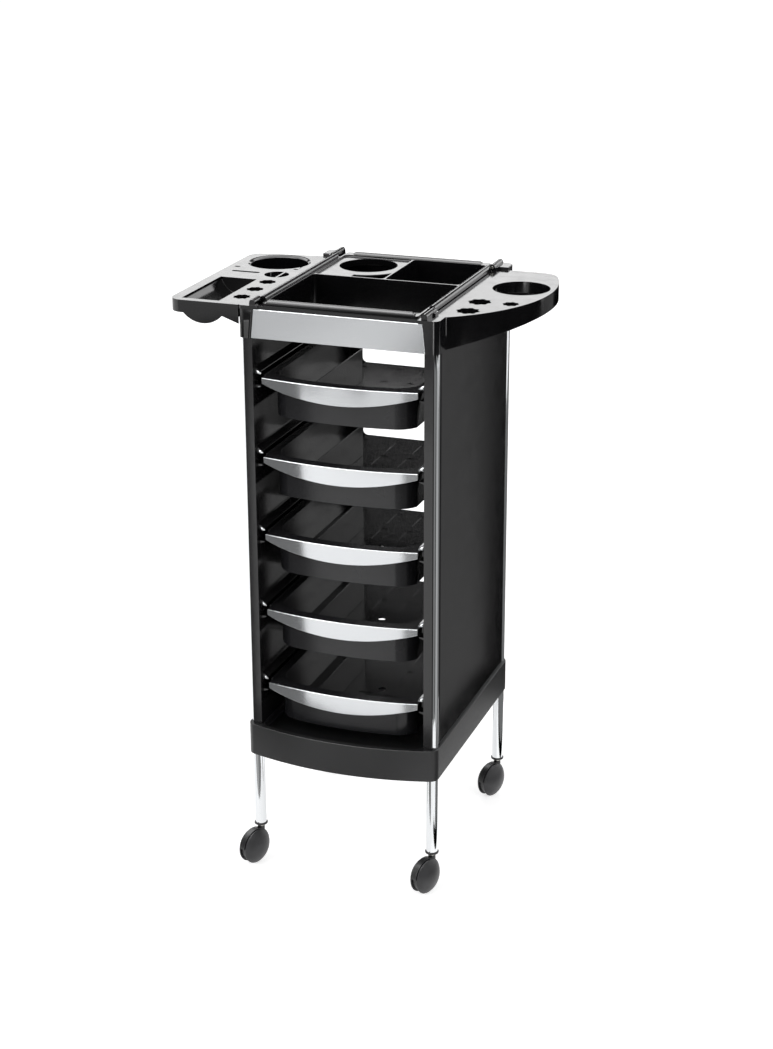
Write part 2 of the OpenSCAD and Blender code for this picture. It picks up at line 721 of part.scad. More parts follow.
module right_outline(inset) {
    y0 = front_knuckle_y(1);
    y1 = knuckle_rear_y - inset;
    arc_r = right_arc_r - inset;
    r = right_corner_r - inset;
    corner_y = knuckle_rear_y - right_corner_r;
    corner_x = right_arc_x + sqrt(pow(right_arc_r - right_corner_r, 2) - pow(corner_y - right_arc_y, 2));
    touch_y = right_arc_y + (corner_y - right_arc_y) * arc_r / (arc_r - r);
    x0 = wing_in_x + inset;
    intersection() {
        translate([right_arc_x, right_arc_y]) circle(r = arc_r, $fn = big_fn);
        translate([x0, y0 + inset]) square([right_out_x, touch_y - y0 - inset]);
    }
    translate([x0, corner_y]) square([corner_x - x0, y1 - corner_y]);
    translate([corner_x, corner_y]) circle(r = r);
}

module wing_right() centred() color("#1c1c1e") difference() {
    union() {
        at_z(wing_low_z, wing_z) right_outline(0);
        knuckles(1);
        right_skirt();
        root_wall(front_knuckle_y(1), knuckle_rear_y, wing_z - root_wall_h);
        at_z(wing_low_z - collar_h, wing_z) right_holes(collar_t);
        translate([dryer_x, dryer_y, wing_low_z - collar_h])
            cylinder(r = dryer_r + collar_t, h = wing_t + collar_h);
    }
    pin_line(1, -side_y, side_y, pin_d / 2 + fit_gap);
    at_z(wing_low_z - collar_h - cut, wing_z + cut) right_holes(0);
    translate([dryer_x, dryer_y, wing_low_z - collar_h - cut])
        cylinder(r = dryer_r, h = wing_t + collar_h + 2 * cut);
}

module right_holes(grow) {
    for (h = [[brush_x, brush_front_y, brush_r], [brush_x, brush_rear_y, brush_r], [comb_x, comb_y, comb_r]])
        translate([h[0], h[1]]) {
            if (grow > 0) circle(r = h[2] + grow);
            else lobed_hole(h[2]);
        }
}

// Skirt along the curved edge, deepest at the corner block.
module right_skirt() intersection() {
    at_z(frame_z, wing_z - cut) intersection() {
        difference() {
            right_outline(0);
            right_outline(wing_wall);
        }
        translate([wing_root_x, -side_y]) square([right_out_x, 2 * side_y]);
    }
    low = block_z - deep_skirt_h;
    run = right_out_x + cut - wing_root_x;
    along_y(-side_y, side_y) polygon([[wing_root_x, low], [wing_root_x + run, low + run * tan(skirt_slope)],
        [wing_root_x + run, wing_z], [wing_root_x, wing_z]]);
}

// ---- casters, drawn with the trail along +X and the axle along Y ----

wheel_r = wheel_d / 2;
wheel_in = web_t / 2 + 0.4;                  // inner face of a wheel, from the caster's middle plane
neck_top_z = tube_foot_z - 6;
flange_h = 2.5;
socket_r = tube_r - tube_wall - fit_gap;
stem_depth = 20;                             // of a stem in its neck

module at_caster(c) centred() translate([c[0] * tube_x, c[1] * tube_y, 0]) rotate(caster_turn) children();

module across_y(r, half_l) rotate([90, 0, 0]) cylinder(r = r, h = 2 * half_l, center = true);

// Plastic plug in the tube's lower end, with the stem's hole up its middle.
module socket(c) at_caster(c) color("#232325") difference() {
    union() {
        translate([0, 0, tube_foot_z - flange_h]) cylinder(r = tube_r + 1.5, h = flange_h);
        translate([0, 0, tube_foot_z - cut]) cylinder(r = socket_r, h = stem_grip + 4 + cut);
    }
    translate([0, 0, tube_foot_z - flange_h - cut])
        cylinder(r = stem_d / 2 + fit_gap, h = flange_h + stem_grip + cut);
}

// Steel stem with a pale collar that the socket rests on.
module stem(c) at_caster(c) color("#c8c8c4") {
    translate([0, 0, neck_top_z - stem_depth])
        cylinder(r = stem_d / 2, h = tube_foot_z + stem_grip - 1 - neck_top_z + stem_depth);
    translate([0, 0, neck_top_z]) cylinder(r = neck_r, h = tube_foot_z - flange_h - neck_top_z);
}

// Web between the wheels, with a fender over their tops and the stem's neck.
module hood(c) at_caster(c) color("#202022") difference() {
    union() {
        translate([trail, 0, wheel_r]) across_y(wheel_r - 3, web_t / 2);
        intersection() {
            translate([trail, 0, wheel_r]) across_y(wheel_r + hood_rise, web_t / 2);
            translate([-wheel_d, -wheel_w, wheel_r + 4]) cube([2 * wheel_d + trail, 2 * wheel_w, wheel_d]);
        }
        translate([0, 0, wheel_r + 4]) cylinder(r = neck_r, h = neck_top_z - wheel_r - 4);
    }
    for (t = [-1, 1]) translate([trail, t * (web_t / 2 + wheel_w), wheel_r])
        across_y(wheel_r + 0.7, wheel_w);
    translate([trail, 0, wheel_r]) across_y(axle_d / 2 + fit_gap, web_t);
    translate([0, 0, neck_top_z - stem_depth - 0.5])
        cylinder(r = stem_d / 2 + fit_gap, h = stem_depth + 0.5 + cut);
}

module axle(c) at_caster(c) color("#9a9a9c") translate([trail, 0, wheel_r])
    across_y(axle_d / 2, wheel_in + wheel_w - 5);

// Wheel with a flat inner side and a domed outer side.
module wheel(c, side) at_caster(c) color("#1f1f21") translate([trail, side * wheel_in, wheel_r])
    rotate([side > 0 ? -90 : 90, 0, 0]) difference() {
        dome_r = (wheel_r * wheel_r + dome_h * dome_h) / (2 * dome_h);
        rotate_extrude() intersection() {
            square([wheel_r, wheel_w]);
            translate([0, wheel_w - dome_r]) circle(r = dome_r, $fn = big_fn);
        }
        translate([0, 0, -cut]) cylinder(r = axle_d / 2 + fit_gap, h = wheel_w - 4.5 + cut);
    }

base_tray();
side_panel(-1);  // side_panel_left
side_panel(1);  // side_panel_right
tube([-1, -1]);  // tube_front_left
tube([1, -1]);  // tube_front_right
tube([-1, 1]);  // tube_rear_left
tube([1, 1]);  // tube_rear_right
top_frame();
front_plate();
top_basin();
hinge_pins(-1);  // hinge_pins_left
hinge_pins(1);  // hinge_pins_right
wing_left();
wing_right();
for (i = [0:4]) {
    tray_body(i);
    tray_front(i);
    tray_divider(i);
}
for (k = [0:3]) {
    place = ["front_left", "front_right", "rear_left", "rear_right"][k];
    socket(corners[k]);
    hood(corners[k]);
    stem(corners[k]);
    axle(corners[k]);
    wheel(corners[k], 1);
    wheel(corners[k], -1);
}
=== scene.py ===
import json
import math

import bmesh
import bpy
import numpy
from mathutils import Matrix, Vector
from mathutils.bvhtree import BVHTree

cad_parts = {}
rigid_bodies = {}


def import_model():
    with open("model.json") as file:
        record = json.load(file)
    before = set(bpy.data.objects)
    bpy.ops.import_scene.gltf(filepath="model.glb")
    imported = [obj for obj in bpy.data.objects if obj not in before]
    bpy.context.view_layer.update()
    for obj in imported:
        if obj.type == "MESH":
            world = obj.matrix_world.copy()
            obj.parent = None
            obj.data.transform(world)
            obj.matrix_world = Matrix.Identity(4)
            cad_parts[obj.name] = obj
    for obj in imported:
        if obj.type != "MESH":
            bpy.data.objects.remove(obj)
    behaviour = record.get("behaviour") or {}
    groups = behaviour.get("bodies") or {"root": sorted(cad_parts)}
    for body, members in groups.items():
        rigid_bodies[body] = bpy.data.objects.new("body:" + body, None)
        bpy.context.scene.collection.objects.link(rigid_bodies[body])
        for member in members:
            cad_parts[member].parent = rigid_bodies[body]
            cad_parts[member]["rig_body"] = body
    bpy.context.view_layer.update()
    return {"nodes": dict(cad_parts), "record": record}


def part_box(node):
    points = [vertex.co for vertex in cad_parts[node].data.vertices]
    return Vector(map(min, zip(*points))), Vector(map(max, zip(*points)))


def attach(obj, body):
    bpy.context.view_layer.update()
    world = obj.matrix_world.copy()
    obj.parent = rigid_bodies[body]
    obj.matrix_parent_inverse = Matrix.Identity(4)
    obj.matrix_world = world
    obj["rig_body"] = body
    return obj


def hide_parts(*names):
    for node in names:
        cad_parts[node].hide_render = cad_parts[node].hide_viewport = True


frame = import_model()
cadNodes = frame["nodes"]
print("frame loaded,", len(cadNodes), "nodes")

places = ["front_left", "front_right", "rear_left", "rear_right"]
trayNumbers = [1, 2, 3, 4, 5]

# Camera, settled by a fit to the image points listed further down; here they are only measured.
camera = {
    "place": (1.0284, -2.7836, 1.6028),  # metres
    "yaw": 0.3481,  # radians towards the left
    "pitch": 0.3521,  # radians down
    "roll": -0.0037,
    "lens": 71.75,  # mm, on the sensor below
    "sensor": 36.0,
    "clip": (0.05, 200),
}
imageWide, imageHigh = 773, 1049


def makeCamera(settings):
    data = bpy.data.cameras.new("photoCamera")
    data.sensor_fit = "AUTO"
    data.sensor_width = settings["sensor"]
    data.lens = settings["lens"]
    data.clip_start, data.clip_end = settings["clip"]
    yaw, pitch, roll = settings["yaw"], settings["pitch"], settings["roll"]
    flat = math.cos(pitch)
    ahead = Vector((-math.sin(yaw) * flat, math.cos(yaw) * flat, -math.sin(pitch)))
    level = Vector((math.cos(yaw), math.sin(yaw), 0))
    above = level.cross(ahead)
    across = level * math.cos(roll) + above * math.sin(roll)
    up = above * math.cos(roll) - level * math.sin(roll)
    turn = Matrix((across, up, -ahead)).transposed().to_4x4()
    obj = bpy.data.objects.new("photoCamera", data)
    obj.matrix_world = Matrix.Translation(settings["place"]) @ turn
    bpy.context.scene.collection.objects.link(obj)
    bpy.context.scene.camera = obj
    return obj


photoCamera = makeCamera(camera)
bpy.context.view_layer.update()
print("camera placed")


def linear(hexColour):
    channels = [int(hexColour[i:i + 2], 16) / 255 for i in (1, 3, 5)]
    return (*(c / 12.92 if c <= 0.04045 else ((c + 0.055) / 1.055) ** 2.4 for c in channels), 1.0)


def addNode(tree, kind, settings=None, links=None):
    node = tree.nodes.new("ShaderNode" + kind)
    for name, value in (settings or {}).items():
        if name in node.inputs:
            node.inputs[name].default_value = value
        else:
            setattr(node, name, value)
    for name, socket in (links or {}).items():
        tree.links.new(socket, node.inputs[name])
    return node


def emptyMaterial(name):
    material = bpy.data.materials.new(name)
    material.use_nodes = True
    material.node_tree.nodes.clear()
    return material, material.node_tree


def bareMaterial(name):
    material, tree = emptyMaterial(name)
    shader = addNode(tree, "BsdfPrincipled")
    addNode(tree, "OutputMaterial", links={"Surface": shader.outputs["BSDF"]})
    return material, tree, shader


# The parts of each raw value that are spread over the whole change of tone, wear or gloss.
toneSpan = (0.35, 0.65)
wearSpan = {"From Min": 0.52, "From Max": 0.62}
grainSpan = {"From Min": 0.3, "From Max": 0.7}


def addGrain(tree, shader, grain, finish):
    # The grain makes the gloss uneven and stands up a little.
    low, high = finish["roughness"]
    gloss = addNode(tree, "MapRange", {**grainSpan, "To Min": low, "To Max": high},
                    {"Value": grain.outputs["Fac"]})
    tree.links.new(gloss.outputs["Result"], shader.inputs["Roughness"])
    bump = addNode(tree, "Bump", {"Strength": finish["bump"], "Distance": finish["depthMm"] / 1000},
                   {"Height": grain.outputs["Fac"]})
    tree.links.new(bump.outputs["Normal"], shader.inputs["Normal"])


def mouldedPlastic(name, finish):
    # Colour drifts between two close tones, edges are rubbed a little lighter, and the
    # tool's texture gives bump and uneven gloss.
    material, tree, shader = bareMaterial(name)
    where = addNode(tree, "TexCoord").outputs["Object"]
    drift = addNode(tree, "TexNoise", {"Scale": 1000 / finish["driftMm"], "Detail": 3.0},
                    {"Vector": where})
    tone = addNode(tree, "ValToRGB", links={"Fac": drift.outputs["Fac"]})
    for element, position, key in zip(tone.color_ramp.elements, toneSpan, ("colour", "otherTone")):
        element.position = position
        element.color = linear(finish[key])
    edge = addNode(tree, "NewGeometry").outputs["Pointiness"]
    rubbed = addNode(tree, "MapRange", {**wearSpan, "To Max": finish["edgeWear"]}, {"Value": edge})
    colour = addNode(tree, "MixRGB", {"Color2": linear(finish["rubbedTone"])},
                     {"Fac": rubbed.outputs["Result"], "Color1": tone.outputs["Color"]})
    tree.links.new(colour.outputs["Color"], shader.inputs["Base Color"])
    grain = addNode(tree, "TexNoise", {"Scale": 1000 / finish["grainMm"], "Detail": 2.0},
                    {"Vector": where})
    addGrain(tree, shader, grain, finish)
    shader.inputs["IOR"].default_value = finish["ior"]
    return material


# ABS moulded in a spark-eroded tool: a soft satin black whose grain breaks up each highlight.
satinBlackAbs = mouldedPlastic("satin black ABS, moulded", {
    "colour": "#111112", "otherTone": "#161617", "rubbedTone": "#3a3a3c", "edgeWear": 0.3,
    "ior": 1.54, "roughness": (0.34, 0.42),
    "driftMm": 60, "grainMm": 2.2,  # the real grain is 0.3 mm, drawn coarser so that it shows
    "depthMm": 0.03, "bump": 0.25})
# ABS moulded flat in a fine-sanded tool: the side panels mirror the room softly, in a slightly
# warm black.
semiGlossAbs = mouldedPlastic("semi-gloss black ABS, moulded flat", {
    "colour": "#0c0b0c", "otherTone": "#100f10", "rubbedTone": "#303032", "edgeWear": 0.25,
    "ior": 1.54, "roughness": (0.09, 0.13),
    "driftMm": 140, "grainMm": 18,  # slow waves of a thin flat moulding, about 18 mm apart
    "depthMm": 0.02, "bump": 0.2})
# ABS moulded in a polished tool: near mirror black, with the faint waves of a thin moulding.
polishedBlackAbs = mouldedPlastic("polished black ABS, moulded", {
    "colour": "#09090a", "otherTone": "#0d0d0e", "rubbedTone": "#262628", "edgeWear": 0.2,
    "ior": 1.54, "roughness": (0.1, 0.15),
    "driftMm": 90, "grainMm": 22,  # waves of a moulded plate, about 22 mm apart
    "depthMm": 0.02, "bump": 0.2})
# Polypropylene, moulded: dark grey trays with a waxy, softer gloss than ABS.
greyPolypropylene = mouldedPlastic("dark grey polypropylene, moulded", {
    "colour": "#1a1a1c", "otherTone": "#1f1f21", "rubbedTone": "#3e3e40", "edgeWear": 0.3,
    "ior": 1.49, "roughness": (0.2, 0.27),
    "driftMm": 50, "grainMm": 2.4,  # 0.3 mm in the real tool, drawn coarser so that it shows
    "depthMm": 0.02, "bump": 0.25})
# Nylon, moulded: the caster forks, a dense black with a low gloss.
blackNylon = mouldedPlastic("black nylon, moulded", {
    "colour": "#101011", "otherTone": "#151516", "rubbedTone": "#39393c", "edgeWear": 0.4,
    "ior": 1.53, "roughness": (0.3, 0.4),
    "driftMm": 20, "grainMm": 1.6, "depthMm": 0.03, "bump": 0.25})
# Nylon wheels, moulded and scuffed by the floor: dark grey and dull.
scuffedNylon = mouldedPlastic("scuffed grey nylon, moulded", {
    "colour": "#1c1c1e", "otherTone": "#252528", "rubbedTone": "#4c4c50", "edgeWear": 0.5,
    "ior": 1.53, "roughness": (0.4, 0.52),
    "driftMm": 12, "grainMm": 1.6, "depthMm": 0.04, "bump": 0.3})


def metalFinish(name, finish):
    # Drawn or lacquered metal: uneven gloss in a stretched noise, and a fine bump along it.
    material, tree, shader = bareMaterial(name)
    where = addNode(tree, "TexCoord").outputs["Object"]
    along = addNode(tree, "Mapping", {"Scale": finish["stretch"]}, {"Vector": where})
    grain = addNode(tree, "TexNoise", {"Scale": 1000 / finish["grainMm"], "Detail": 3.0},
                    {"Vector": along.outputs["Vector"]})
    tones = {"Color1": linear(finish["colour"]), "Color2": linear(finish["otherTone"])}
    colour = addNode(tree, "MixRGB", tones, {"Fac": grain.outputs["Fac"]})
    tree.links.new(colour.outputs["Color"], shader.inputs["Base Color"])
    addGrain(tree, shader, grain, finish)
    shader.inputs["Metallic"].default_value = finish["metallic"]
    return material


# Satin silver lacquer over ABS: aluminium flake gives a soft metal sheen that follows the bow.
silverLacquer = metalFinish("satin silver lacquer", {
    "colour": "#c6c8ca", "otherTone": "#ced0d2", "metallic": 0.92, "roughness": (0.1, 0.15),
    "stretch": (1, 1, 1), "grainMm": 2.0,  # flake is 0.05 mm, drawn coarser so that it shows
    "depthMm": 0.004, "bump": 0.15})
# Chrome plate on drawn steel tube: mirror bright, with faint drawing lines along the tube.
chromePlate = metalFinish("chrome plate on drawn tube", {
    "colour": "#d5d7d9", "otherTone": "#dfe1e2", "metallic": 1.0, "roughness": (0.05, 0.1),
    "stretch": (1, 1, 0.02), "grainMm": 1.5, "depthMm": 0.01, "bump": 0.15})
# Zinc-plated steel: stems, axles and hinge pins, slightly yellowed grey with turning marks.
zincSteel = metalFinish("zinc-plated steel, turned", {
    "colour": "#b5b4ae", "otherTone": "#c6c5be", "metallic": 1.0, "roughness": (0.25, 0.38),
    "stretch": (0.05, 0.05, 1), "grainMm": 0.8, "depthMm": 0.02, "bump": 0.3})
print("materials made")

slotMaterials = {
    "panel_black": satinBlackAbs, "panel_grey": semiGlossAbs, "gloss_black": polishedBlackAbs,
    "tray_grey": greyPolypropylene, "silver": silverLacquer, "chrome": chromePlate,
    "steel": zincSteel, "caster_black": blackNylon, "wheel_black": scuffedNylon}
nodeSlots = {part["node"]: part["material_slot"] for part in frame["record"]["subparts"]}


def evaluatedMesh(obj):
    # The mesh with its modifiers worked in, so that what rides and is measured is final.
    bpy.context.view_layer.update()
    worked = obj.evaluated_get(bpy.context.evaluated_depsgraph_get())
    return bpy.data.meshes.new_from_object(worked)


def dress(obj, node):
    # The new piece takes the node's place, body and finish.
    slotName = nodeSlots[node]
    obj.data.materials.clear()
    obj.data.materials.append(slotMaterials[slotName])
    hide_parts(node)
    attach(obj, cadNodes[node]["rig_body"])


easing = {
    "weldMm": 0.004,  # vertices closer than this are one
    "flatDegrees": 0.4,  # faces that turn less than this are one
    "sharpDegrees": 32,  # edges that turn more than this are rounded
    "runDegrees": 40,  # a run of edges that bends more than this takes another width
    "shareAcross": 0.46,  # of the room to the edge across the face
    "shareAlong": 0.9,  # of the edge's own length
    "mostM": 1.0,  # where nothing lies across
    "leastM": 4e-5,  # narrower roundings are left sharp
    "attempts": 4,
    "coveredTwice": 1.01,  # of a face's area, beyond which its outline runs over itself
    "creaseDegrees": 50,  # edges that still turn more than this aren't shaded as one
    "flatWeight": 80,
}


def easingRoom(face, widths):
    # For each hard edge of a flat face: the widest rounding that doesn't meet the one across
    # the face and doesn't turn a small corner inside out.
    sideways = face.normal.orthogonal().normalized()
    forwards = face.normal.cross(sideways)
    places3d = [loop.vert.co for loop in face.loops]
    corners = numpy.array([(place.dot(sideways), place.dot(forwards)) for place in places3d])
    runs = numpy.roll(corners, -1, axis=0) - corners
    lengths = numpy.hypot(runs[:, 0], runs[:, 1])
    headings = numpy.arctan2(runs[:, 1], runs[:, 0])
    turns = (numpy.roll(headings, -1) - headings + math.pi) % (2 * math.pi) - math.pi
    edges = [loop.edge for loop in face.loops]
    room = {}
    for i, edge in enumerate(edges):
        if edge not in widths or lengths[i] < 1e-9:
            continue
        inward = numpy.array((-runs[i, 1], runs[i, 0])) / lengths[i]
        fromMiddle = corners - corners[i] - runs[i] / 2
        with numpy.errstate(divide="ignore", invalid="ignore"):
            crossed = inward[0] * runs[:, 1] - inward[1] * runs[:, 0]
            across = (fromMiddle[:, 0] * runs[:, 1] - fromMiddle[:, 1] * runs[:, 0]) / crossed
            along = (fromMiddle[:, 0] * inward[1] - fromMiddle[:, 1] * inward[0]) / crossed
        met = across[(across > 1e-7) & (along > -1e-6) & (along < 1 + 1e-6)]
        widest = easing["shareAcross"] * met.min() if len(met) else easing["mostM"]
        shortening = 0.0
        for turn, other in ((turns[i - 1], i - 1), (turns[i], (i + 1) % len(edges))):
            if edges[other] not in widths:
                besideRoom = lengths[other] * abs(math.sin(turn))
                widest = min(widest, easing["shareAcross"] * besideRoom)
            elif turn > 1e-4:
                shortening += math.tan(min(turn, 3.0) / 2)
        if shortening > 1e-6:
            widest = min(widest, easing["shareAlong"] * lengths[i] / shortening)
        room[edge] = widest
    return room


def roundingWidths(shape, easedMm, boldMm, isBold):
    # The width of every hard edge's rounding, one width all along each smooth run of edges.
    widths = {}
    sharpFrom = math.radians(easing["sharpDegrees"])
    straightOn = -math.cos(math.radians(easing["runDegrees"]))
    for edge in shape.edges:
        if len(edge.link_faces) == 2 and edge.calc_face_angle() > sharpFrom:
            widths[edge] = (boldMm if isBold and isBold(edge) else easedMm) / 1000
    for face in {face for edge in widths for face in edge.link_faces}:
        for edge, widest in easingRoom(face, widths).items():
            widths[edge] = min(widths[edge], widest)
    nextTo = {edge: [] for edge in widths}
    for vert in shape.verts:
        hard = [edge for edge in vert.link_edges if edge in widths]
        if len(hard) == 2:
            ways = [(edge.other_vert(vert).co - vert.co).normalized() for edge in hard]
            if ways[0].dot(ways[1]) < straightOn:
                nextTo[hard[0]].append(hard[1])
                nextTo[hard[1]].append(hard[0])
    seen = set()
    for start in widths:
        if start in seen:
            continue
        run, toVisit = [], [start]
        seen.add(start)
        while toVisit:
            edge = toVisit.pop()
            run.append(edge)
            for other in nextTo[edge]:
                if other not in seen:
                    seen.add(other)
                    toVisit.append(other)
        narrowest = min(widths[edge] for edge in run)
        for edge in run:
            widths[edge] = narrowest
    return widths


def overlappingFaces(mesh):
    # The source faces whose rounded outline now runs over itself.
    mesh.calc_loop_triangles()
    covered = numpy.zeros(len(mesh.polygons))
    for triangle in mesh.loop_triangles:
        covered[triangle.polygon_index] += triangle.area
    madeFrom = mesh.attributes["madeFrom"].data
    return {madeFrom[i].value for i, face in enumerate(mesh.polygons)
            if covered[i] > easing["coveredTwice"] * face.area + 1e-8}


def easeEdges(node, pieceName, easedMm, steps=2, boldMm=0.0, isBold=None):
    # A copy of the node's solid, with flat faces joined up and every hard edge rounded as a
    # mould rounds it. Where a face is spoilt by that, its edges stay sharp.
    weld = easing["weldMm"] / 1000
    shape = bmesh.new()
    shape.from_mesh(cadNodes[node].data)
    bmesh.ops.remove_doubles(shape, verts=shape.verts, dist=weld)
    bmesh.ops.dissolve_degenerate(shape, edges=shape.edges, dist=weld)
    bmesh.ops.dissolve_limit(shape, angle_limit=math.radians(easing["flatDegrees"]),
                             verts=shape.verts, edges=shape.edges)
    bmesh.ops.recalc_face_normals(shape, faces=shape.faces)
    weight = shape.edges.layers.float.new("bevel_weight_edge")
    madeFrom = shape.faces.layers.int.new("madeFrom")
    shape.faces.ensure_lookup_table()
    for number, face in enumerate(shape.faces):
        face.smooth = True
        face[madeFrom] = number
    widths = roundingWidths(shape, easedMm, boldMm, isBold)
    widest = max(easedMm, boldMm) / 1000
    obj = bpy.data.objects.new(pieceName, bpy.data.meshes.new(pieceName))
    bpy.context.scene.collection.objects.link(obj)
    bevel = obj.modifiers.new("easedEdges", "BEVEL")
    bevel.limit_method = "WEIGHT"
    bevel.width = widest
    bevel.segments = steps
    bevel.use_clamp_overlap = False
    for _ in range(easing["attempts"]):
        for edge, width in widths.items():
            edge[weight] = width / widest if width > easing["leastM"] else 0.0
        shape.to_mesh(obj.data)
        rounded = evaluatedMesh(obj)
        spoilt = overlappingFaces(rounded)
        if not spoilt:
            break
        for number in spoilt:
            for edge in shape.faces[number].edges:
                if edge in widths:
                    widths[edge] = 0.0
    shape.clear()
    shape.from_mesh(rounded)
    crease = math.radians(easing["creaseDegrees"])
    for edge in shape.edges:
        edge.smooth = len(edge.link_faces) != 2 or edge.calc_face_angle() < crease
    shape.to_mesh(rounded)
    shape.free()
    rounded.attributes.remove(rounded.attributes["madeFrom"])
    obj.modifiers.clear()
    obj.data = rounded
    even = obj.modifiers.new("flatFacesStayFlat", "WEIGHTED_NORMAL")
    even.weight = easing["flatWeight"]
    even.keep_sharp = True
    obj.data = evaluatedMesh(obj)
    obj.modifiers.clear()
    dress(obj, node)


bodyPieces = {  # new name, rounding in mm, and its steps
    "base_tray": ("baseTray", 1.4, 3),
    "side_panel_left": ("sidePanelLeft", 0.8, 4),
    "side_panel_right": ("sidePanelRight", 0.8, 4),
    "top_frame": ("topFrame", 1.0, 3),
    "front_plate": ("frontPlate", 0.6, 2),
    "top_basin": ("topBasin", 0.7, 2),
    "wing_left": ("wingLeft", 0.7, 2),
    "wing_right": ("wingRight", 0.7, 2),
    "hinge_pins_left": ("hingePinsLeft", 0.3, 2),
    "hinge_pins_right": ("hingePinsRight", 0.3, 2),
}
# The panels' upright front corners are rounder than the rest.
panelFront = {"boldMm": 2.6, "deepMm": 8, "leastTallM": 0.1}


def onPanelFront(edge):
    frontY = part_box("side_panel_left")[0].y + panelFront["deepMm"] / 1000
    ends = [vert.co for vert in edge.verts]
    tall = abs(ends[0].z - ends[1].z)
    return all(end.y < frontY for end in ends) and tall > panelFront["leastTallM"]


for node, (pieceName, easedMm, steps) in bodyPieces.items():
    if node.startswith("side_panel"):
        easeEdges(node, pieceName, easedMm, steps, panelFront["boldMm"], onPanelFront)
    else:
        easeEdges(node, pieceName, easedMm, steps)
print("body, basin and wings eased")

trayPieces = {"bodyEaseMm": 0.6, "frontEaseMm": 0.9, "dividerEaseMm": 0.6}
for number in trayNumbers:
    easeEdges(f"tray_body_{number}", f"trayBody{number}", trayPieces["bodyEaseMm"])
    easeEdges(f"tray_front_{number}", f"trayFront{number}", trayPieces["frontEaseMm"], steps=3)
    easeEdges(f"tray_divider_{number}", f"trayDivider{number}", trayPieces["dividerEaseMm"])
print("trays eased")

casterPieces = {"tubeEaseMm": 0.3, "socketEaseMm": 0.3, "hoodEaseMm": 0.5, "pinEaseMm": 0.3,
                "wheelEaseMm": 0.6}
for place in places:
    tag = place.title().replace("_", "")
    easeEdges(f"tube_{place}", f"tube{tag}", casterPieces["tubeEaseMm"])
    easeEdges(f"socket_{place}", f"socket{tag}", casterPieces["socketEaseMm"])
    easeEdges(f"hood_{place}", f"hood{tag}", casterPieces["hoodEaseMm"])
    easeEdges(f"stem_{place}", f"stem{tag}", casterPieces["pinEaseMm"])
    easeEdges(f"axle_{place}", f"axle{tag}", casterPieces["pinEaseMm"])
    for side in ("in", "out"):
        pieceName = f"wheel{tag}{side.title()}"
        easeEdges(f"wheel_{place}_{side}", pieceName, casterPieces["wheelEaseMm"])
print("legs and casters eased")

# Image points, in pixels of the photograph from its top left: x, y, the pieces that carry the
# point, and the way to look for it in the image, or None for the middle of a rib's end.
# An x or y of None isn't measured.
imagePoints = {
    "objectLeft": (173.6, None, ["wingLeft"], (-1, 0)),
    "objectRight": (558.0, None, ["wingRight"], (1, 0)),
    "objectTop": (None, 248.0, ["topFrame"], (0, -1)),
    "objectBottom": (None, 894.5, ["wheelFrontRightIn", "wheelFrontRightOut"], (0, 1)),
    "plateTopLeft": (254.0, 309.1, ["frontPlate"], (-1, -1)),
    "plateBottomRight": (425.8, 352.3, ["frontPlate"], (1, 1)),
    "trayOneTopLeft": (260.4, 377.8, ["trayFront1"], (-1, -0.6)),
    "trayOneTopRight": (418.2, 393.2, ["trayFront1"], (1, -1)),
    "trayFiveTopLeft": (267.4, 681.5, ["trayFront5"], (-1, -0.6)),
    "trayFiveTopRight": (417.9, 705.7, ["trayFront5"], (1, -1)),
    "baseFrontLeft": (249.8, 721.3, ["baseTray"], (-1, -0.2)),
    "baseRearRight": (505.2, 659.5, ["baseTray"], (1, -0.6)),
    "wheelFrontLeftBottom": (None, 864.8, ["wheelFrontLeftIn", "wheelFrontLeftOut"], (0, 1)),
    "wheelRearRightBottom": (None, 796.1, ["wheelRearRightIn", "wheelRearRightOut"], (0, 1)),
    "ribEndUpper": (258.2, 371.6, ["sidePanelLeft"], None),
    "ribEndLower": (257.8, 386.9, ["sidePanelLeft"], None),
}
longSide = max(imageWide, imageHigh)
shiftX, shiftY = photoCamera.data.shift_x, photoCamera.data.shift_y
focal = longSide * photoCamera.data.lens / photoCamera.data.sensor_width  # in pixels


def coordinates(name):
    mesh = bpy.data.objects[name].data
    flat = numpy.empty(3 * len(mesh.vertices))
    mesh.vertices.foreach_get("co", flat)
    return flat.reshape(-1, 3)


def treeOf(names):
    corners, faces = [], []
    for name in names:
        start = len(corners)
        corners += coordinates(name).tolist()
        outlines = [face.vertices for face in bpy.data.objects[name].data.polygons]
        faces += [[start + i for i in outline] for outline in outlines]
    return BVHTree.FromPolygons(corners, faces)


# Distances from the camera, in metres, at which the place nearest to a view is looked for.
alongView = [1.5 + 0.001 * i for i in range(3000)]


def placeInView(pointName):
    # Where the view through an image point meets what carries it, or the place nearest to it.
    x, y, carriers, _ = imagePoints[pointName]
    tree = treeOf(carriers)
    start = photoCamera.matrix_world.translation
    right = x - imageWide / 2 + shiftX * longSide
    up = imageHigh / 2 - y + shiftY * longSide
    way = (photoCamera.matrix_world.to_3x3() @ Vector((right, up, -focal))).normalized()
    hit = tree.ray_cast(start, way)[0]
    if hit is None:
        nearest = (tree.find_nearest(start + way * far) for far in alongView)
        hit = min(nearest, key=lambda found: found[3])[0]
    return hit


# The ribs' ends: small silver wedges on the front of the ten ribs of each side panel, one pair
# at each tray. Their silver is a painted highlight that stands in for the glints on the ribs' front
# edges. The tray's runner slides between the flat sides of a pair.
ribEndGlints = {"wideMm": 9, "tipMm": 1.4, "upperMm": 6.4, "lowerMm": 4.4, "proudMm": 0.5, "sunkMm": 0.6,
           "pitchMm": 118.5, "easedMm": 0.25}


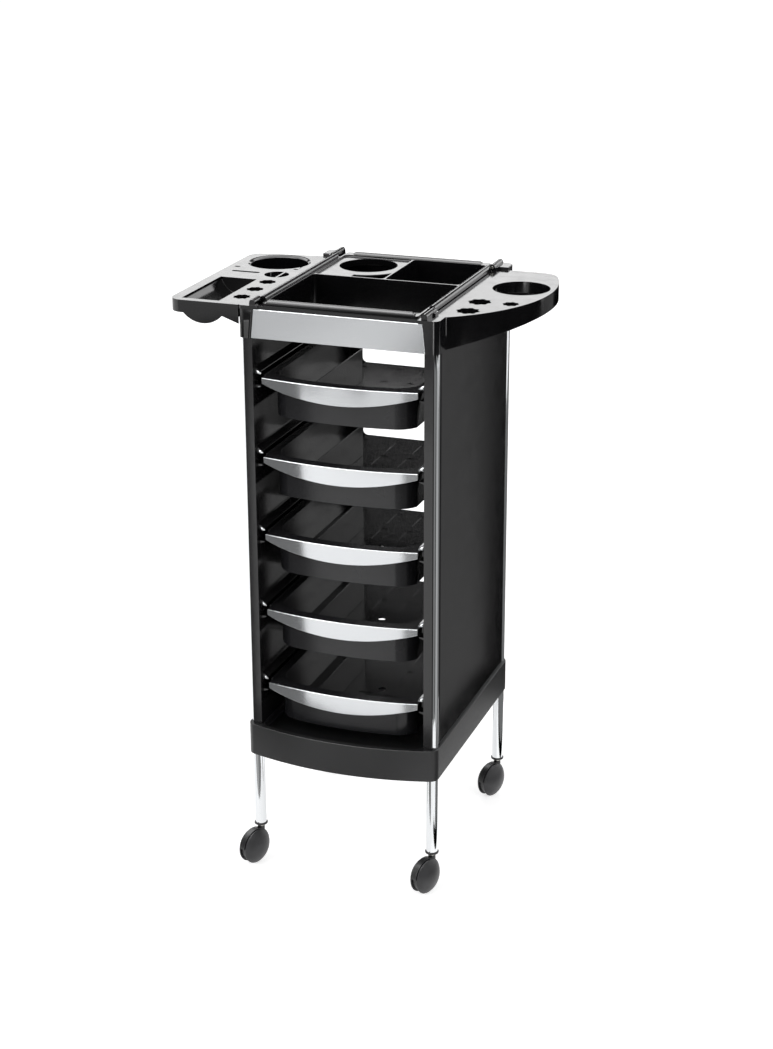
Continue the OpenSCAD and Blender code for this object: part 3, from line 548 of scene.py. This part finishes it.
def makeRibEnd(middle, side, tallMm, upwards):
    # A wedge as deep as the rib's end, tall against the panel and thin at its tip.
    half, tip, tall = ribEndGlints["wideMm"] / 2000, ribEndGlints["tipMm"] / 1000, tallMm / 1000
    base = -tall / 2 if upwards else tall / 2
    rise = 1 if upwards else -1
    outline = [(-half, base), (half, base), (half, base + rise * tip), (-half, base + rise * tall)]
    front, back = middle.y - ribEndGlints["proudMm"] / 1000, middle.y + ribEndGlints["sunkMm"] / 1000
    wedge = bmesh.new()
    rings = [[wedge.verts.new((middle.x + side * x, y, middle.z + z)) for x, z in outline]
             for y in (front, back)]
    for i in range(4):
        wedge.faces.new((rings[0][i], rings[0][i - 1], rings[1][i - 1], rings[1][i]))
    wedge.faces.new(rings[0])
    wedge.faces.new(rings[1])
    bmesh.ops.recalc_face_normals(wedge, faces=wedge.faces)
    bmesh.ops.bevel(wedge, geom=wedge.edges[:], offset=ribEndGlints["easedMm"] / 1000, segments=2,
                    affect="EDGES")
    for face in wedge.faces:
        face.smooth = True
    return wedge


bodyMiddleX = (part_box("base_tray")[0].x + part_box("base_tray")[1].x) / 2
ribEndVertices = {}
for level, upwards in (("Upper", True), ("Lower", False)):
    first = placeInView(f"ribEnd{level}")
    tallMm = ribEndGlints["upperMm"] if upwards else ribEndGlints["lowerMm"]
    for sideName, side in (("Left", 1), ("Right", -1)):
        name = f"ribEnds{level}{sideName}"
        mesh = bpy.data.meshes.new(name)
        joined = bmesh.new()
        for row in range(len(trayNumbers)):
            middle = Vector((first.x, first.y, first.z - row * ribEndGlints["pitchMm"] / 1000))
            if side < 0:
                middle.x = 2 * bodyMiddleX - middle.x
            wedge = makeRibEnd(middle, side, tallMm, upwards)
            wedge.to_mesh(mesh)
            wedge.free()
            joined.from_mesh(mesh)
            if row == 0 and side > 0:
                firstVertices = numpy.array([vert.co[:] for vert in mesh.vertices])
                ribEndVertices[f"ribEnd{level}"] = firstVertices
        joined.to_mesh(mesh)
        joined.free()
        obj = bpy.data.objects.new(name, mesh)
        bpy.context.scene.collection.objects.link(obj)
        # silver as a painted highlight: the wedges stand in for the glints on the ribs' front ends
        mesh.materials.append(silverLacquer)
        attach(obj, "body")
print("rib ends placed")


def pixelsOf(spots):
    fromCamera = spots - numpy.array(photoCamera.matrix_world.translation)
    local = fromCamera @ numpy.array(photoCamera.matrix_world.to_3x3())
    x = imageWide / 2 - shiftX * longSide + focal * local[:, 0] / -local[:, 2]
    y = imageHigh / 2 + shiftY * longSide - focal * local[:, 1] / -local[:, 2]
    return numpy.stack((x, y), axis=1)


shownWithinM = 0.0004  # of the first surface that the view meets


def shows(spot, everything):
    start = photoCamera.matrix_world.translation
    way = Vector(spot) - start
    hit = everything.ray_cast(start, way.normalized())
    return hit[0] is None or hit[3] > way.length - shownWithinM


triedVertices = 3000


def shownAt(pointName, everything):
    # The pixel of the vertex that shows furthest the point's way, or the middle of what shows.
    _, _, carriers, look = imagePoints[pointName]
    if look is None:
        seen = [spot for spot in ribEndVertices[pointName] if shows(spot, everything)]
        pixels = pixelsOf(numpy.array(seen))
        return (pixels.min(axis=0) + pixels.max(axis=0)) / 2
    spots = numpy.concatenate([coordinates(name) for name in carriers])
    pixels = pixelsOf(spots)
    for i in numpy.argsort(-(pixels @ numpy.array(look, dtype=float)))[:triedVertices]:
        if shows(spots[i], everything):
            return pixels[i]
    return pixels.mean(axis=0)


everyPiece = treeOf([obj.name for obj in bpy.data.objects
                     if obj.type == "MESH" and not obj.hide_render])
for pointName, (x, y, _, _) in imagePoints.items():
    shownX, shownY = shownAt(pointName, everyPiece)
print("image points measured")

def uprightCard(start, end, low, high):
    # The corners of an upright card that stands on the line between two places of the floor.
    return [(*start, low), (*end, low), (*end, high), (*start, high)]


def levelCard(left, front, right, rear, height):
    # The corners of a card that lies level.
    return [(left, front, height), (right, front, height), (right, rear, height),
            (left, rear, height)]


# Studio: a pale floor that keeps the shadow, a white background, and large soft lamps. The cards
# are seen in gloss alone, as the grey, black and lit cards round a product are.
studio = {
    "ambient": 0.4, "floorColour": "#f2f2f2", "floorGlow": 0.66,
    "floorHalf": 60, "floorDrop": 0.0004, "aim": (0, 0, 0.6),
    "lamps": {
        "frontLeftSoftbox": {"place": (-2.4, -3.0, 2.6), "size": (2.6, 2.6), "watts": 70},
        "frontRightSoftbox": {"place": (3.2, -1.6, 2.0), "size": (2.4, 2.4), "watts": 35},
        "rearSoftbox": {"place": (-1.6, 4.2, 2.6), "size": (4.0, 2.0), "watts": 50},
    },
    "lampsOutOfGloss": ["rearSoftbox"],
    "cards": {  # strength, and the corners in metres
        "leftCard": (0.17, uprightCard((-0.309, -0.557), (-0.62, -0.28), 0, 0.75)),
        "rightCard": (0.36, uprightCard((0.114, -0.63), (0.5, -0.75), 0, 0.66)),
        "plateLeftCard": (0.74, levelCard(-3.5, -5.5, -1.2, -2.25, 0.002)),
        "plateRightCard": (1.0, levelCard(-1.2, -5.5, 0.5, -2.25, 0.002)),
        "baseSideCard": (1.4, levelCard(0.16, -0.3, 0.27, 1.2, 0.002)),
        "bandCard": (0.0, levelCard(0.27, -0.3, 0.335, 1.2, 0.002)),
        "panelCard": (0.2, levelCard(0.335, -0.2, 2.4, 6.5, 0.001)),
        "panelRearCard": (0.0, [(0.287, 0.519, 0.003), (1.21, 3.52, 0.003), (0.9, 6.0, 0.003),
                                (-0.3, 6.0, 0.003), (-0.3, 0.519, 0.003)]),
        "trayRearCard": (0.0, uprightCard((-0.9, 1.0), (0.25, 1.0), 0.45, 1.05)),
        "tubeLeftCard": (0.24, uprightCard((0.388, -0.70), (0.635, -0.496), 0, 0.66)),
        "tubeFlag": (0.02, uprightCard((0.635, -0.496), (0.70, -0.377), 0, 0.66)),
        "tubeRightCard": (0.48, uprightCard((0.70, -0.377), (0.69, 0.10), 0, 0.66)),
        "wingFlag": (0.0, uprightCard((0.34, -0.74), (0.72, -0.38), 0.66, 0.84)),
        "wingSideFlag": (0.0, uprightCard((0.72, -0.38), (0.72, 0.6), 0.66, 0.84)),
        "baseLeftCard": (0.5, levelCard(-0.5, -0.69, -0.14, -0.36, 0.001)),
        "baseRightCard": (0.25, levelCard(-0.14, -0.69, 0.12, -0.36, 0.001)),
        "rearCard": (2.5, uprightCard((-7, 5.2), (5, 5.2), 1.1, 2.7)),
        "rearTopCard": (0.1, uprightCard((-7, 5.2), (5, 5.2), 2.7, 6.0)),
        "overheadCard": (9.0, levelCard(-1.6, -1.6, 0.3, 0.3, 2.6)),
        "overheadRearCard": (3.0, levelCard(-3, 0.3, 2.5, 2.8, 2.6)),
        "blockCard": (0.0, levelCard(-0.89, -3.5, -0.5, -2.85, 0.004)),
        "streakCard": (6.0, uprightCard((0.171, -0.765), (0.295, -0.747), 0.67, 0.76)),
    },
}


def backgroundRay(tree):
    # 1 for rays that show the background itself: to the camera, in gloss and through glass.
    path = addNode(tree, "LightPath")
    seen = addNode(tree, "Math", {"operation": "MAXIMUM"})
    tree.links.new(path.outputs["Is Camera Ray"], seen.inputs[0])
    tree.links.new(path.outputs["Is Glossy Ray"], seen.inputs[1])
    either = addNode(tree, "Math", {"operation": "MAXIMUM"})
    tree.links.new(seen.outputs[0], either.inputs[0])
    tree.links.new(path.outputs["Is Transmission Ray"], either.inputs[1])
    return either.outputs[0]


def makeWorld(settings):
    world = bpy.data.worlds.new("whiteStudio")
    world.use_nodes = True
    tree = world.node_tree
    tree.nodes.clear()
    strength = addNode(tree, "MapRange", {"To Min": settings["ambient"], "To Max": 1.0},
                       {"Value": backgroundRay(tree)})
    sky = addNode(tree, "Background", {"Color": (1, 1, 1, 1)},
                  {"Strength": strength.outputs["Result"]})
    addNode(tree, "OutputWorld", links={"Surface": sky.outputs["Background"]})
    bpy.context.scene.world = world


def makeFloor(settings):
    # The glow lifts the paper to white in the picture and in gloss, and lights nothing.
    mesh = bpy.data.meshes.new("floor")
    half = settings["floorHalf"]
    mesh.from_pydata(levelCard(-half, -half, half, half, 0), [], [(0, 1, 2, 3)])
    floor = bpy.data.objects.new("floor", mesh)
    floor.location.z = -settings["floorDrop"]
    bpy.context.scene.collection.objects.link(floor)
    material, tree = emptyMaterial("matt white paper")
    paper = addNode(tree, "BsdfDiffuse", {"Color": linear(settings["floorColour"])})
    strength = addNode(tree, "MapRange", {"To Min": 0.0, "To Max": settings["floorGlow"]},
                       {"Value": backgroundRay(tree)})
    glow = addNode(tree, "Emission", {"Color": (1, 1, 1, 1)},
                   {"Strength": strength.outputs["Result"]})
    both = addNode(tree, "AddShader")
    tree.links.new(paper.outputs[0], both.inputs[0])
    tree.links.new(glow.outputs[0], both.inputs[1])
    addNode(tree, "OutputMaterial", links={"Surface": both.outputs[0]})
    mesh.materials.append(material)


def makeCard(name, grey, corners):
    mesh = bpy.data.meshes.new(name)
    mesh.from_pydata(corners, [], [tuple(range(len(corners)))])
    card = bpy.data.objects.new(name, mesh)
    bpy.context.scene.collection.objects.link(card)
    material, tree = emptyMaterial(f"{name} board")
    board = addNode(tree, "Emission", {"Color": (grey, grey, grey, 1)})
    addNode(tree, "OutputMaterial", links={"Surface": board.outputs[0]})
    mesh.materials.append(material)
    card.visible_camera = card.visible_diffuse = card.visible_shadow = False
    card.visible_transmission = card.visible_volume_scatter = False


def makeLamp(name, settings, target):
    data = bpy.data.lights.new(name, "AREA")
    data.shape = "RECTANGLE"
    data.size, data.size_y = settings["size"]
    data.energy = settings["watts"]
    lamp = bpy.data.objects.new(name, data)
    place = Vector(settings["place"])
    turn = (place - target).to_track_quat("Z", "Y").to_matrix().to_4x4()
    lamp.matrix_world = Matrix.Translation(place) @ turn
    lamp.visible_camera = False
    lamp.visible_glossy = name not in studio["lampsOutOfGloss"]
    bpy.context.scene.collection.objects.link(lamp)


makeWorld(studio)
makeFloor(studio)
for name, settings in studio["lamps"].items():
    makeLamp(name, settings, Vector(studio["aim"]))
for name, (grey, corners) in studio["cards"].items():
    makeCard(name, grey, corners)
bpy.context.scene.view_settings.view_transform = "Standard"
print("studio lit")
